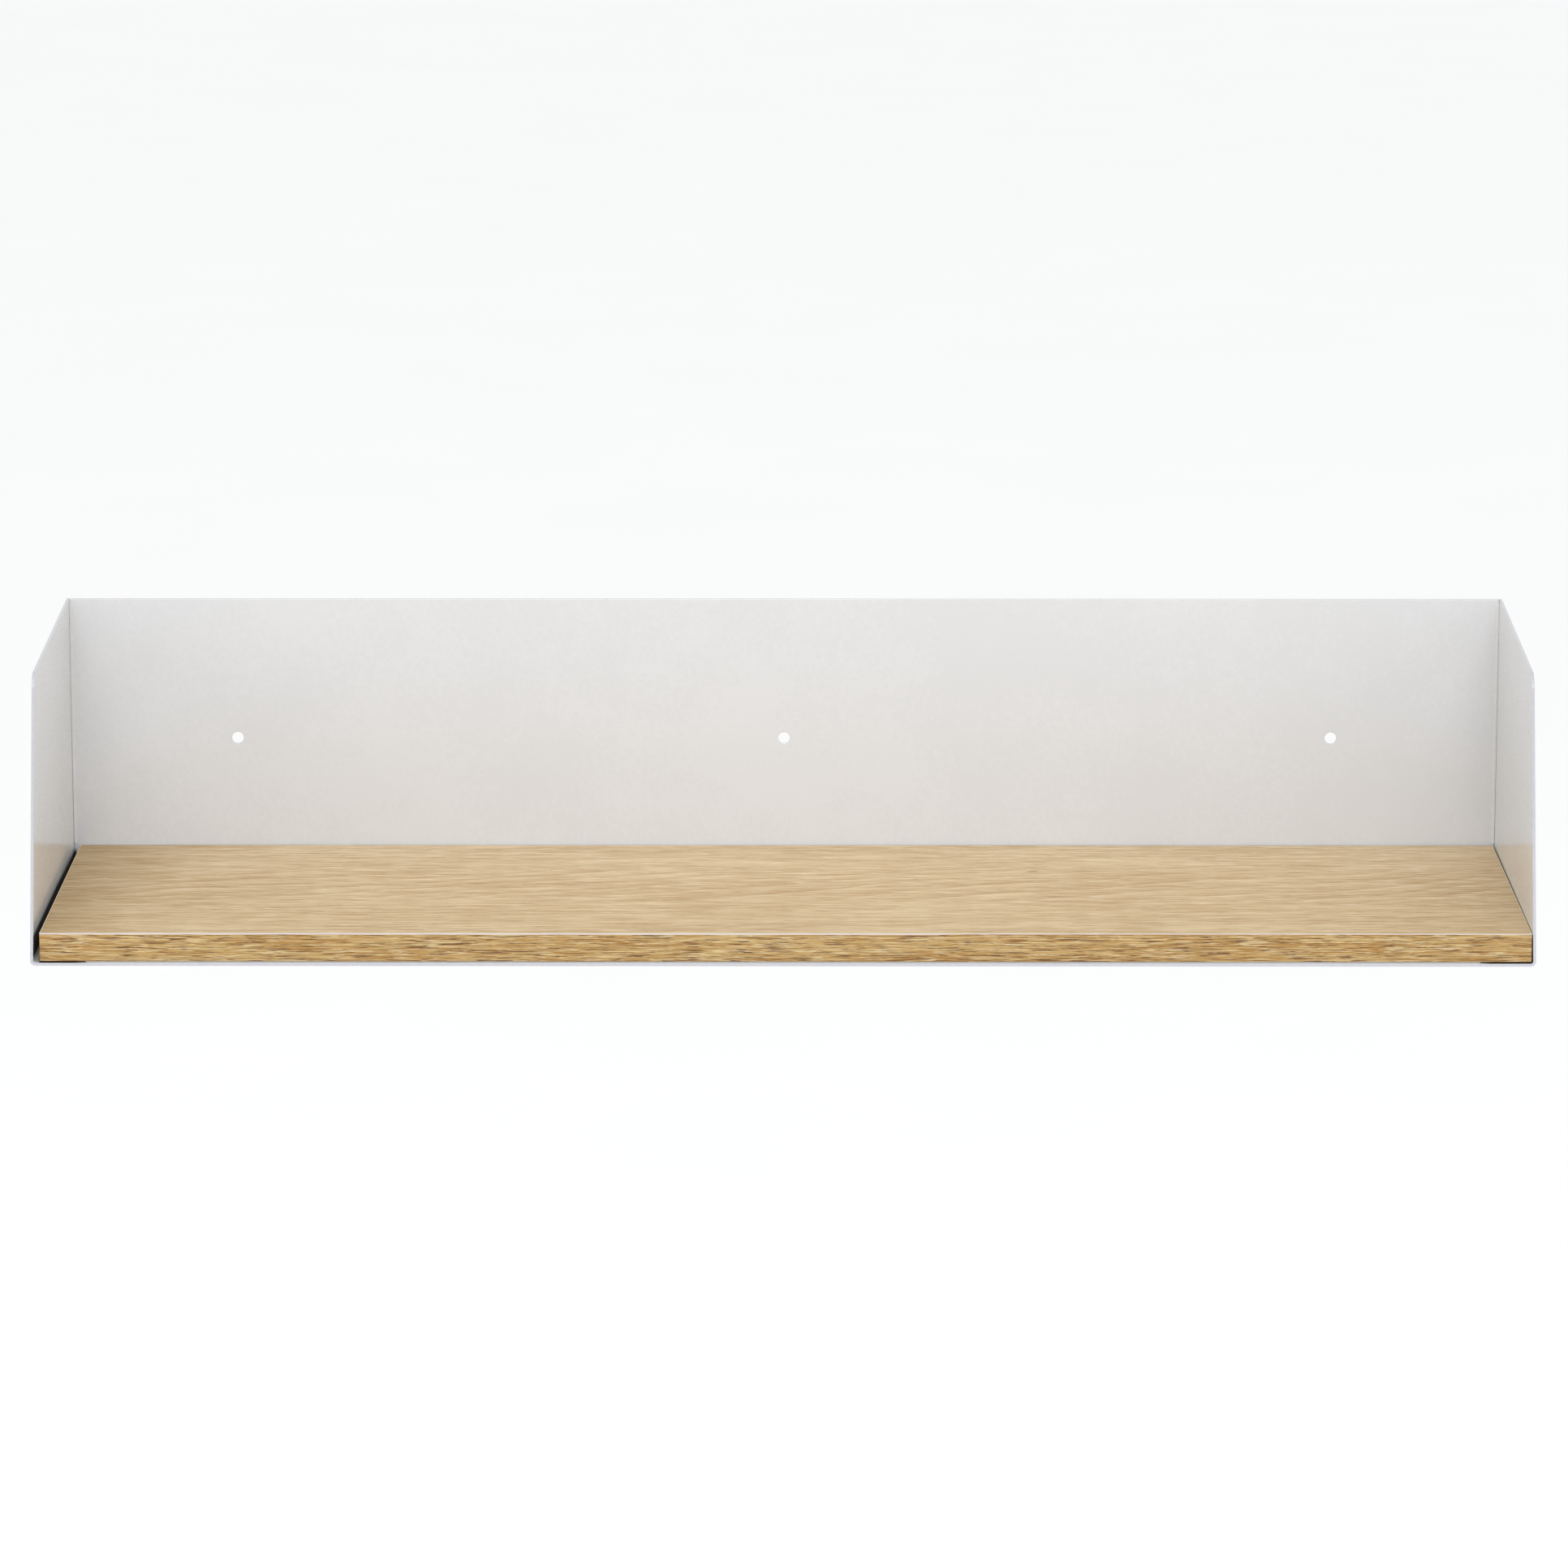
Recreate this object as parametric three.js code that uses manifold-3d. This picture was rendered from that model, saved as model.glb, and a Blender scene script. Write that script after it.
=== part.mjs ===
// Wall shelf: a tray of folded sheet steel with an oak-faced board lying in it.
// Millimetres. +X is to the right, +Y runs from the open front to the wall, +Z is up.
// The origin is the middle of the shelf's footprint, level with the underside of the floor.
import * as THREE from 'three';
import { mergeVertices } from 'three/addons/utils/BufferGeometryUtils.js';
import Module from 'manifold-3d';

// ---- Driving dimensions: steel tray ----
const shelfWidth = 800;
const shelfDepth = 220;
const shelfHeight = 158;
const sheetThickness = 1.7; // 1.5 mm steel with its powder coat on both faces
const innerBendRadius = 1.3;
const cheekCornerRadius = 8; // rounding of each cheek's free corner, top front
const cheekToeIn = 4.4; // how far that free corner leans inwards
const fitUpGap = 0.1; // play between the back panel and the strip it is welded to

// ---- Driving dimensions: wall screw holes ----
const screwHoleDiameter = 6.6;
const screwHoleCount = 3;
const screwHoleSpacing = 305.5;
const screwHoleDrop = 79; // from the top edge of the back down to the hole centres

// ---- Driving dimensions: welds ----
const cornerWeldLeg = 1.6;
const cornerWeldTopInset = 1.5;
const floorWeldLeg = 1.2;
const weldClearance = 0.05;

// ---- Driving dimensions: board ----
const boardThickness = 15.5;
const foilThickness = 0.4;
const edgeBandThickness = 0.5;
const edgeBandArris = 0.4;
const boardFrontSetback = 1;
const boardRearClearance = 0.8;
const boardLeftClearance = 3; // the board sits against the right-hand cheek
const boardRightClearance = 0.25;
const boardWeldClearance = 1; // height between the board's face and the corner welds

// ---- Driving dimensions: adhesive strips ----
const stripThickness = 0.6;
const stripWidth = 19;
const stripEndInset = 29.5; // from the outside of each cheek
const stripEdgeInset = 1; // from the front and rear faces of the board

// ---- Fineness of the facets ----
const arcSegments = 8;
const holeSegments = 40;
const cheekRows = 8;
const depthRows = 8;
const cutterMargin = 5;
const samePoint = 1e-4;

// ---- Places worked out from the dimensions ----
const frontY = -shelfDepth / 2;
const wallY = shelfDepth / 2;
const innerHalfWidth = shelfWidth / 2 - sheetThickness;
const backFrontY = wallY - sheetThickness;
const boardBottomZ = sheetThickness + stripThickness;
const boardTopZ = boardBottomZ + boardThickness;
const boardFrontY = frontY + boardFrontSetback;
const boardRearY = backFrontY - boardRearClearance;
const boardLeftX = -innerHalfWidth + toeInAt(boardFrontY, boardTopZ) + boardLeftClearance;
const boardRightX = innerHalfWidth - toeInAt(boardFrontY, boardTopZ) - boardRightClearance;

// ---- Finishes ----
const powderCoat = { color: 0xdad9d6, roughness: 0.5, metalness: 0 };
const coatedWeld = { color: 0xd2d1ce, roughness: 0.6, metalness: 0 };
const oakFace = { color: 0xcdb287, roughness: 0.5, metalness: 0 };
const oakEdging = { color: 0xc2a573, roughness: 0.55, metalness: 0 };
const particleBoard = { color: 0xb59a72, roughness: 0.9, metalness: 0 };
const foamTape = { color: 0xe4e4e6, roughness: 0.8, metalness: 0 };

const wasm = await Module();
wasm.setup();

// How far a point of a cheek leans inwards: most at the top of the open front,
// nothing along the floor or where the cheek is welded to the back.
function toeInAt(y, z) {
  const depthShare = (wallY - y) / shelfDepth;
  const heightShare = z / shelfHeight;
  return cheekToeIn * depthShare * heightShare;
}

function toSolid(geometry) {
  const bare = geometry.clone();
  bare.deleteAttribute('normal');
  bare.deleteAttribute('uv');
  const merged = mergeVertices(bare, samePoint);
  return new wasm.Manifold(new wasm.Mesh({
    numProp: 3,
    vertProperties: new Float32Array(merged.attributes.position.array),
    triVerts: new Uint32Array(merged.index.array),
  }));
}

function toGeometry(solid) {
  const mesh = solid.getMesh();
  const geometry = new THREE.BufferGeometry();
  geometry.setAttribute('position', new THREE.BufferAttribute(mesh.vertProperties, 3));
  geometry.setIndex(new THREE.BufferAttribute(mesh.triVerts, 1));
  geometry.computeVertexNormals();
  return geometry;
}

// An outline's points with arcs as short chords, leaving out a point that repeats the one before it.
function distinctPoints(points) {
  return points.filter((point, i) => {
    const before = points[(i + points.length - 1) % points.length];
    return point.distanceTo(before) > samePoint;
  });
}

function extrude(shape, length, steps = 1) {
  const outline = new THREE.Shape(distinctPoints(shape.getPoints(arcSegments)));
  return new THREE.ExtrudeGeometry(outline, { depth: length, steps, bevelEnabled: false });
}

// Extrudes an outline drawn in X and Z along the depth, from fromY to toY.
function extrudeAlongY(shape, fromY, toY, steps = 1) {
  const geometry = extrude(shape, toY - fromY, steps);
  geometry.rotateX(Math.PI / 2);
  geometry.translate(0, toY, 0);
  return geometry;
}

// Extrudes an outline drawn in Y and Z along the width, from fromX to toX.
function extrudeAlongX(shape, fromX, toX) {
  const geometry = extrude(shape, toX - fromX);
  geometry.rotateX(Math.PI / 2);
  geometry.rotateZ(Math.PI / 2);
  geometry.translate(fromX, 0, 0);
  return geometry;
}

function boxBetween(low, high) {
  const size = high.map((value, i) => value - low[i]);
  const centre = high.map((value, i) => (value + low[i]) / 2);
  return new THREE.BoxGeometry(...size).translate(...centre);
}

function makePart(name, geometry, finish) {
  const mesh = new THREE.Mesh(geometry, new THREE.MeshStandardMaterial(finish));
  mesh.name = name;
  return mesh;
}

// ---- Steel tray ----

// Cross-section of the bent strip: up the left cheek, across the floor, up the right cheek.
function trayOutline() {
  const outerHalf = shelfWidth / 2;
  const outerBendRadius = innerBendRadius + sheetThickness;
  const bendX = outerHalf - outerBendRadius;
  const bendZ = outerBendRadius;
  const rise = (shelfHeight - bendZ) / cheekRows;
  const shape = new THREE.Shape();
  shape.moveTo(-outerHalf, shelfHeight);
  for (let row = cheekRows - 1; row >= 0; row -= 1) {
    shape.lineTo(-outerHalf, bendZ + row * rise);
  }
  shape.absarc(-bendX, bendZ, outerBendRadius, Math.PI, 1.5 * Math.PI, false);
  shape.lineTo(bendX, 0);
  shape.absarc(bendX, bendZ, outerBendRadius, 1.5 * Math.PI, 2 * Math.PI, false);
  for (let row = 1; row <= cheekRows; row += 1) {
    shape.lineTo(outerHalf, bendZ + row * rise);
  }
  for (let row = cheekRows; row >= 0; row -= 1) {
    shape.lineTo(innerHalfWidth, bendZ + row * rise);
  }
  shape.absarc(bendX, bendZ, innerBendRadius, 0, -0.5 * Math.PI, true);
  shape.lineTo(-bendX, sheetThickness);
  shape.absarc(-bendX, bendZ, innerBendRadius, -0.5 * Math.PI, -Math.PI, true);
  for (let row = 1; row <= cheekRows; row += 1) {
    shape.lineTo(-innerHalfWidth, bendZ + row * rise);
  }
  return shape;
}

function leanCheeksInwards(geometry) {
  const position = geometry.attributes.position;
  for (let i = 0; i < position.count; i += 1) {
    const x = position.getX(i);
    const lean = toeInAt(position.getY(i), position.getZ(i));
    position.setX(i, x - Math.sign(x) * lean);
  }
  return geometry;
}

// What is cut off the free corner of both cheeks to leave it round.
function cheekCornerCutter() {
  const radius = Math.min(cheekCornerRadius, shelfDepth / 2, shelfHeight / 2);
  const centreY = frontY + radius;
  const centreZ = shelfHeight - radius;
  const shape = new THREE.Shape();
  shape.moveTo(frontY - cutterMargin, centreZ);
  shape.lineTo(frontY, centreZ);
  shape.absarc(centreY, centreZ, radius, Math.PI, 0.5 * Math.PI, true);
  shape.lineTo(centreY, shelfHeight + cutterMargin);
  shape.lineTo(frontY - cutterMargin, shelfHeight + cutterMargin);
  shape.closePath();
  const halfLength = shelfWidth / 2 + cutterMargin;
  return toSolid(extrudeAlongX(shape, -halfLength, halfLength));
}

function foldedTray() {
  const strip = leanCheeksInwards(extrudeAlongY(trayOutline(), frontY, wallY, depthRows));
  const rounded = toSolid(strip).subtract(cheekCornerCutter());
  return makePart('folded_tray', toGeometry(rounded), powderCoat);
}

// ---- Back panel ----

function screwHoleXs() {
  const middle = (screwHoleCount - 1) / 2;
  return Array.from({ length: screwHoleCount }, (unused, i) => (i - middle) * screwHoleSpacing);
}

function backPanelOutline() {
  const half = innerHalfWidth - fitUpGap;
  const foot = sheetThickness + fitUpGap;
  const radius = innerBendRadius - fitUpGap;
  const shape = new THREE.Shape();
  shape.moveTo(-half, shelfHeight);
  shape.lineTo(-half, foot + radius);
  shape.absarc(-half + radius, foot + radius, radius, Math.PI, 1.5 * Math.PI, false);
  shape.absarc(half - radius, foot + radius, radius, 1.5 * Math.PI, 2 * Math.PI, false);
  shape.lineTo(half, shelfHeight);
  shape.closePath();
  return shape;
}

function screwHoleCutter(x) {
  const radius = screwHoleDiameter / 2;
  const length = sheetThickness + 2 * cutterMargin;
  const drill = new THREE.CylinderGeometry(radius, radius, length, holeSegments);
  drill.translate(x, wallY - sheetThickness / 2, shelfHeight - screwHoleDrop);
  return toSolid(drill);
}

// Section of the groove between the floor and the foot of the back, on the wall side: a right
// angle with two equal legs. Reach carries the corner past the floor and the wall face.
function floorGroove(leg, reach) {
  const shape = new THREE.Shape();
  shape.moveTo(wallY + reach, sheetThickness - reach);
  shape.lineTo(wallY + reach, sheetThickness + leg + reach);
  shape.lineTo(wallY - leg - reach, sheetThickness - reach);
  shape.closePath();
  return shape;
}

function floorGrooveCutter() {
  const halfLength = shelfWidth / 2 + cutterMargin;
  return toSolid(extrudeAlongX(floorGroove(floorWeldLeg, floorWeldLeg), -halfLength, halfLength));
}

function backPanel() {
  const sheet = extrudeAlongY(backPanelOutline(), backFrontY, wallY);
  const grooved = toSolid(sheet).subtract(floorGrooveCutter());
  const drilled = screwHoleXs().reduce((panel, x) => panel.subtract(screwHoleCutter(x)), grooved);
  return makePart('back_panel', toGeometry(drilled), powderCoat);
}

// ---- Welds ----

// A hollow fillet in the corner between a cheek (side -1 left, 1 right) and the back.
function cornerWeld(name, side) {
  const leanThere = toeInAt(backFrontY - cornerWeldLeg, shelfHeight);
  const cornerX = side * (innerHalfWidth - leanThere - weldClearance);
  const centreX = cornerX - side * cornerWeldLeg;
  const centreY = backFrontY - cornerWeldLeg;
  const shape = new THREE.Shape();
  shape.moveTo(cornerX, backFrontY);
  shape.lineTo(centreX, backFrontY);
  shape.absarc(centreX, centreY, cornerWeldLeg, Math.PI / 2, side < 0 ? Math.PI : 0, side > 0);
  shape.closePath();
  const fromZ = boardTopZ + boardWeldClearance;
  const toZ = shelfHeight - cornerWeldTopInset;
  const geometry = extrude(shape, toZ - fromZ).translate(0, 0, fromZ);
  return makePart(name, geometry, coatedWeld);
}

function floorWeld() {
  const halfLength = innerHalfWidth - innerBendRadius;
  const section = floorGroove(floorWeldLeg - weldClearance, 0);
  return makePart('floor_weld', extrudeAlongX(section, -halfLength, halfLength), coatedWeld);
}

// ---- Board ----

// Section of an edging strip: flat where it is glued to the board, round on its two free arrises.
// Drawn with the glued side at 0 and the free side at edgeBandThickness.
function edgeBandOutline() {
  const radius = Math.min(edgeBandArris, edgeBandThickness);
  const free = edgeBandThickness;
  const shape = new THREE.Shape();
  shape.moveTo(0, boardBottomZ);
  shape.lineTo(free - radius, boardBottomZ);
  shape.absarc(free - radius, boardBottomZ + radius, radius, 1.5 * Math.PI, 2 * Math.PI, false);
  shape.absarc(free - radius, boardTopZ - radius, radius, 0, 0.5 * Math.PI, false);
  shape.lineTo(0, boardTopZ);
  shape.closePath();
  return shape;
}

// An edging strip centred on x, y, whose free side faces the direction of turn (0 is +X).
function edgeBand(name, length, x, y, turn) {
  const geometry = extrude(edgeBandOutline(), length);
  geometry.rotateX(Math.PI / 2);
  geometry.translate(0, length / 2, 0);
  geometry.rotateZ(turn);
  geometry.translate(x, y, 0);
  return makePart(name, geometry, oakEdging);
}

function boardLayer(name, fromZ, toZ, finish) {
  const low = [boardLeftX + edgeBandThickness, boardFrontY + edgeBandThickness, fromZ];
  const high = [boardRightX - edgeBandThickness, boardRearY - edgeBandThickness, toZ];
  return makePart(name, boxBetween(low, high), finish);
}

function boardParts() {
  const length = boardRightX - boardLeftX;
  const depth = boardRearY - boardFrontY;
  const middleX = (boardLeftX + boardRightX) / 2;
  const middleY = (boardFrontY + boardRearY) / 2;
  const sideLength = depth - 2 * edgeBandThickness;
  const coreBottomZ = boardBottomZ + foilThickness;
  const coreTopZ = boardTopZ - foilThickness;
  return [
    boardLayer('board_core', coreBottomZ, coreTopZ, particleBoard),
    boardLayer('top_foil', coreTopZ, boardTopZ, oakFace),
    boardLayer('underside_foil', boardBottomZ, coreBottomZ, oakFace),
    edgeBand('front_edge_band', length, middleX, boardFrontY + edgeBandThickness, -Math.PI / 2),
    edgeBand('rear_edge_band', length, middleX, boardRearY - edgeBandThickness, Math.PI / 2),
    edgeBand('left_edge_band', sideLength, boardLeftX + edgeBandThickness, middleY, Math.PI),
    edgeBand('right_edge_band', sideLength, boardRightX - edgeBandThickness, middleY, 0),
  ];
}

// ---- Adhesive strips between the floor and the board ----

function adhesiveStrip(name, middleY) {
  const halfLength = shelfWidth / 2 - stripEndInset;
  const low = [-halfLength, middleY - stripWidth / 2, sheetThickness];
  const high = [halfLength, middleY + stripWidth / 2, boardBottomZ];
  return makePart(name, boxBetween(low, high), foamTape);
}

function adhesiveStrips() {
  const frontMiddleY = boardFrontY + stripEdgeInset + stripWidth / 2;
  const rearMiddleY = boardRearY - stripEdgeInset - stripWidth / 2;
  return [
    adhesiveStrip('adhesive_strip_front', frontMiddleY),
    adhesiveStrip('adhesive_strip_middle', (frontMiddleY + rearMiddleY) / 2),
    adhesiveStrip('adhesive_strip_rear', rearMiddleY),
  ];
}

// ---- The whole shelf ----

const shelf = new THREE.Group();
shelf.name = 'wall_shelf';
shelf.add(foldedTray());
shelf.add(backPanel());
shelf.add(cornerWeld('corner_weld_left', -1));
shelf.add(cornerWeld('corner_weld_right', 1));
shelf.add(floorWeld());
shelf.add(...boardParts());
shelf.add(...adhesiveStrips());

export default shelf;
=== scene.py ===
# %% [markdown]
# # A wall shelf in folded steel and oak
#
# This lesson dresses a small wall shelf: a tray bent from thin sheet steel, powder coated
# off-white, with an oak-faced board lying in it. The sizes come from the shelf's own CAD model,
# which is loaded first and never moved. Each piece is then modelled again with the tools you
# would use by hand, so that it gets the soft edges, bends and seams that a real shelf has.
#
# Every length is in metres. X runs to the right, Y runs from the open front to the wall, and Z is up.

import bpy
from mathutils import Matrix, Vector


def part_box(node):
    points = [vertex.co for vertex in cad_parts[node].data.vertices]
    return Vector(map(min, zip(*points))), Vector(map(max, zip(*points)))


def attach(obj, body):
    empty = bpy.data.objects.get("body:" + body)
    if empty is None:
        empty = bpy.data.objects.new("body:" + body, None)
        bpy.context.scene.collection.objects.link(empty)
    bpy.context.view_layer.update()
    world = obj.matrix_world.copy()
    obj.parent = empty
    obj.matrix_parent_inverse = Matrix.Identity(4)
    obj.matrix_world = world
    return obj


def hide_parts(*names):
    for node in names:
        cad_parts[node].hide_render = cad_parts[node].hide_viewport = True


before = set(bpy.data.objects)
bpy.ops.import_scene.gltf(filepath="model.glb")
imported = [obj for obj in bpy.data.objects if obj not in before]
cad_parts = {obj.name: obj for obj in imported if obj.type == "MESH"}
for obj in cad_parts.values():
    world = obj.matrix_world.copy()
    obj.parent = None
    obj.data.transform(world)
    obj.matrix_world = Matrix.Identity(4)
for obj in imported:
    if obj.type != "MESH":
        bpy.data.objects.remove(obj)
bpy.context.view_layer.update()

# %% Modules
import math

import bmesh
import bpy
from mathutils import Vector

MM = 0.001
print("Blender", bpy.app.version_string)

# %% [markdown]
# ## Reading sizes off the CAD model
#
# Every size below is measured on a CAD node, so the pieces still fit if the design changes.
# The sheet's thickness is the height at which the glued strips lie, because they lie on the
# floor of the tray. The two cheeks lean in a little at their free corner, as bent sheet
# often does, and the top edge of the CAD tray shows by how much.

# %% Sizes of the steel tray
tray_low, tray_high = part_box("folded_tray")
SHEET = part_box("adhesive_strip_front")[0].z
BEND_INSIDE = tray_high.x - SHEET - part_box("floor_weld")[1].x
BEND_OUTSIDE = BEND_INSIDE + SHEET
DEPTH = tray_high.y - tray_low.y
HEIGHT = tray_high.z

top_edge = [v.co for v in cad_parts["folded_tray"].data.vertices if v.co.z > HEIGHT - 0.01 * MM]
free_corner = max((p for p in top_edge if p.y < min(q.y for q in top_edge) + 0.01 * MM), key=lambda p: p.x)
CORNER_RADIUS = free_corner.y - tray_low.y
TOE_IN = (tray_high.x - free_corner.x) * DEPTH / (tray_high.y - free_corner.y)
print(f"sheet {SHEET / MM:.2f} mm, inside bend {BEND_INSIDE / MM:.2f} mm, "
      f"free corner {CORNER_RADIUS / MM:.2f} mm, toe-in {TOE_IN / MM:.2f} mm")

# %% [markdown]
# ## The camera
#
# The shelf is seen from the front and a little above. The camera stands far away and has a long
# lens, which keeps the shelf's edges nearly parallel. It isn't rolled, and it tilts down by about
# twelve degrees, which shows the top of the board.

# %% Camera
CAMERA_SIDE = 0.0106
CAMERA_DISTANCE = 3.5864
CAMERA_HEIGHT = 0.8624
CAMERA_TILT = math.radians(12.015)
CAMERA_TURN = math.radians(0.16)
LENS_MM = 159.45

bpy.ops.object.camera_add(
    location=(CAMERA_SIDE, tray_low.y - CAMERA_DISTANCE, CAMERA_HEIGHT),
    rotation=(math.pi / 2 - CAMERA_TILT, 0, CAMERA_TURN))
camera = bpy.context.object
camera.name = "camera"
camera.data.sensor_width = 36
camera.data.lens = LENS_MM
camera.data.clip_end = 200
bpy.context.scene.camera = camera
print("camera at", [round(v, 3) for v in camera.location])

# %% [markdown]
# ## Light and floor
#
# A pale shelf on a pale ground needs very soft light, or its shape is lost in hard shadows. A lamp
# for each side would do, but a white sky does most of the work with no edge to its light. A softbox
# high up in front of the shelf and a lower one further off reach into the corners, which the sky
# alone leaves too dark, and two weak ones light the cheeks. The floor lies well below the shelf,
# because the shelf hangs on a wall.

# %% Sky, softboxes and floor
SKY_COLOUR = (0.99, 0.995, 1, 1)
SKY_STRENGTH = 1.0
SHELF_MIDDLE = Vector((0, 0, HEIGHT / 2))
FLOOR_DROP = 0.9
FLOOR_SIZE = 60


def softbox(name, place, width, height, watts):
    """Hang an area light at place, turned so that it shines at the shelf."""
    direction = SHELF_MIDDLE - Vector(place)
    turn = direction.to_track_quat("-Z", "Y").to_euler()
    bpy.ops.object.light_add(type="AREA", location=place, rotation=turn)
    lamp = bpy.context.object
    lamp.name = name
    lamp.data.shape = "RECTANGLE"
    lamp.data.size = width
    lamp.data.size_y = height
    lamp.data.energy = watts
    print(f"{name}: {width} by {height} m, {watts} W")


sky = bpy.data.worlds.new("studio_sky")
sky.use_nodes = True
sky.node_tree.nodes["Background"].inputs["Color"].default_value = SKY_COLOUR
sky.node_tree.nodes["Background"].inputs["Strength"].default_value = SKY_STRENGTH
bpy.context.scene.world = sky
bpy.context.scene.view_settings.view_transform = "Standard"

softbox("softbox_above", place=(0, -2.2, 2.6), width=3.2, height=1.6, watts=36)
softbox("softbox_front", place=(0, -4.2, 1.6), width=1.6, height=1.2, watts=42)
softbox("softbox_left", place=(-2.8, -2.2, 1.2), width=1.2, height=1.6, watts=8)
softbox("softbox_right", place=(2.8, -2.2, 1.2), width=1.2, height=1.6, watts=5)

bpy.ops.mesh.primitive_plane_add(size=FLOOR_SIZE, location=(0, 0, -FLOOR_DROP))
floor = bpy.context.object
floor.name = "studio_floor"

# %% [markdown]
# ## Helpers for working as if by hand
#
# An operator acts on whatever is selected, and loading the frame left every CAD node selected. So
# each step starts by selecting one piece only. In edit mode, `pick` selects just the points,
# edges or faces that pass a rule about where they are, which is what a click would do.

# %% Selecting and shaping
def only(piece):
    """Make piece the one selected and active object."""
    bpy.ops.object.select_all(action="DESELECT")
    piece.select_set(True)
    bpy.context.view_layer.objects.active = piece
    return piece


def pick(piece, kind, rule):
    """In edit mode, select only the VERT, EDGE or FACE items whose points pass the rule, and count them."""
    bpy.ops.mesh.select_mode(type=kind)
    bpy.ops.mesh.select_all(action="DESELECT")
    mesh = bmesh.from_edit_mesh(piece.data)
    items = {"VERT": mesh.verts, "EDGE": mesh.edges, "FACE": mesh.faces}[kind]
    count = 0
    for item in items:
        points = [item.co] if kind == "VERT" else [v.co for v in item.verts]
        if rule(points):
            item.select_set(True)
            count += 1
    mesh.select_flush_mode()
    bmesh.update_edit_mesh(piece.data)
    return count


def near(a, b, slack=0.01 * MM):
    """True if two lengths are the same, give or take the slack."""
    return abs(a - b) < slack


# %% Boxes, modifiers and soft edges
def stretch(piece, size):
    """Scale a new one-metre primitive to size, and put its place and size into its mesh."""
    only(piece)
    piece.scale = size
    bpy.ops.object.transform_apply(location=True, rotation=True, scale=True)


def box_between(name, low, high):
    """Add a cube stretched between two corners."""
    bpy.ops.object.select_all(action="DESELECT")
    low, high = Vector(low), Vector(high)
    bpy.ops.mesh.primitive_cube_add(size=1, location=(low + high) / 2)
    piece = bpy.context.object
    piece.name = name
    piece.data.name = name
    stretch(piece, high - low)
    return piece


def apply_modifier(piece, kind, **settings):
    """Add a modifier with these settings and apply it."""
    only(piece)
    modifier = piece.modifiers.new(kind.lower(), kind)
    for name, value in settings.items():
        setattr(modifier, name, value)
    bpy.ops.object.modifier_apply(modifier=modifier.name)


def face_outwards(piece):
    """Turn every face's normal to the outer side."""
    only(piece)
    bpy.ops.object.mode_set(mode="EDIT")
    bpy.ops.mesh.select_all(action="SELECT")
    bpy.ops.mesh.normals_make_consistent(inside=False)
    bpy.ops.object.mode_set(mode="OBJECT")


def soften_edges(piece, width, segments=3, angle=40):
    """Round every edge sharper than angle degrees, and shade the piece smoothly."""
    apply_modifier(piece, "BEVEL", width=width, segments=segments, limit_method="ANGLE",
                   angle_limit=math.radians(angle), use_clamp_overlap=False, harden_normals=True)


def stand_for(piece, node):
    """Put piece in the shelf in place of a CAD node, which is hidden."""
    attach(piece, "root")
    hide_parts(node)
    print(f"{piece.name}: {len(piece.data.polygons)} faces, stands for {node}")


# %% [markdown]
# ## The folded tray
#
# The tray is one strip of sheet: a floor with a cheek bent up at each end. It could be drawn as a
# U and extruded, but then the free corners would be hard to round, so it is modelled as it is
# made. A flat grid gets two walls by extrusion, the two bend lines are bevelled into arcs, and
# the free corners are rounded flat. Only then does the sheet get its thickness, from a Solidify
# modifier, so that the inside of each bend comes out right by itself.

# %% Bend the strip
DEPTH_CELLS = 12
BEND_SEGMENTS = 10
CHEEK_CUTS = 7
CORNER_SEGMENTS = 10


def on_one_side(points, side):
    """True if every point is at +side, or every point is at -side."""
    return any(all(near(p.x, place) for p in points) for place in (side, -side))


bpy.ops.object.select_all(action="DESELECT")
bpy.ops.mesh.primitive_grid_add(x_subdivisions=1, y_subdivisions=DEPTH_CELLS, size=1)
tray = bpy.context.object
tray.name = "steel_tray"
stretch(tray, (tray_high.x - tray_low.x, DEPTH, 1))
bpy.ops.object.mode_set(mode="EDIT")
pick(tray, "EDGE", lambda points: on_one_side(points, tray_high.x))
bpy.ops.mesh.extrude_region_move(TRANSFORM_OT_translate={"value": (0, 0, HEIGHT)})
pick(tray, "EDGE", lambda points: on_one_side(points, tray_high.x) and all(near(p.z, 0) for p in points))
bpy.ops.mesh.bevel(offset=BEND_OUTSIDE, segments=BEND_SEGMENTS, affect="EDGES", clamp_overlap=False)
cheek_edges = pick(tray, "EDGE", lambda points: abs(points[0].z - points[1].z) > HEIGHT / 2)
bpy.ops.mesh.subdivide(number_cuts=CHEEK_CUTS)
bpy.ops.object.mode_set(mode="OBJECT")
print("tray strip:", len(tray.data.polygons), "faces;", cheek_edges, "edges ran up the cheeks")

# %% Round the free corners
bpy.ops.object.mode_set(mode="EDIT")
corners = pick(tray, "VERT", lambda points: near(points[0].y, tray_low.y) and near(points[0].z, HEIGHT))
bpy.ops.mesh.bevel(offset=CORNER_RADIUS, segments=CORNER_SEGMENTS, affect="VERTICES")
bpy.ops.object.mode_set(mode="OBJECT")
print(corners, "free corners rounded")

# %% [markdown]
# The lean of the cheeks grows towards the top and towards the front. A lattice with two points
# each way does exactly that: it carries the tray along as two of its eight points are pushed
# inwards, and every point of the tray in between moves by its share.

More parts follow.
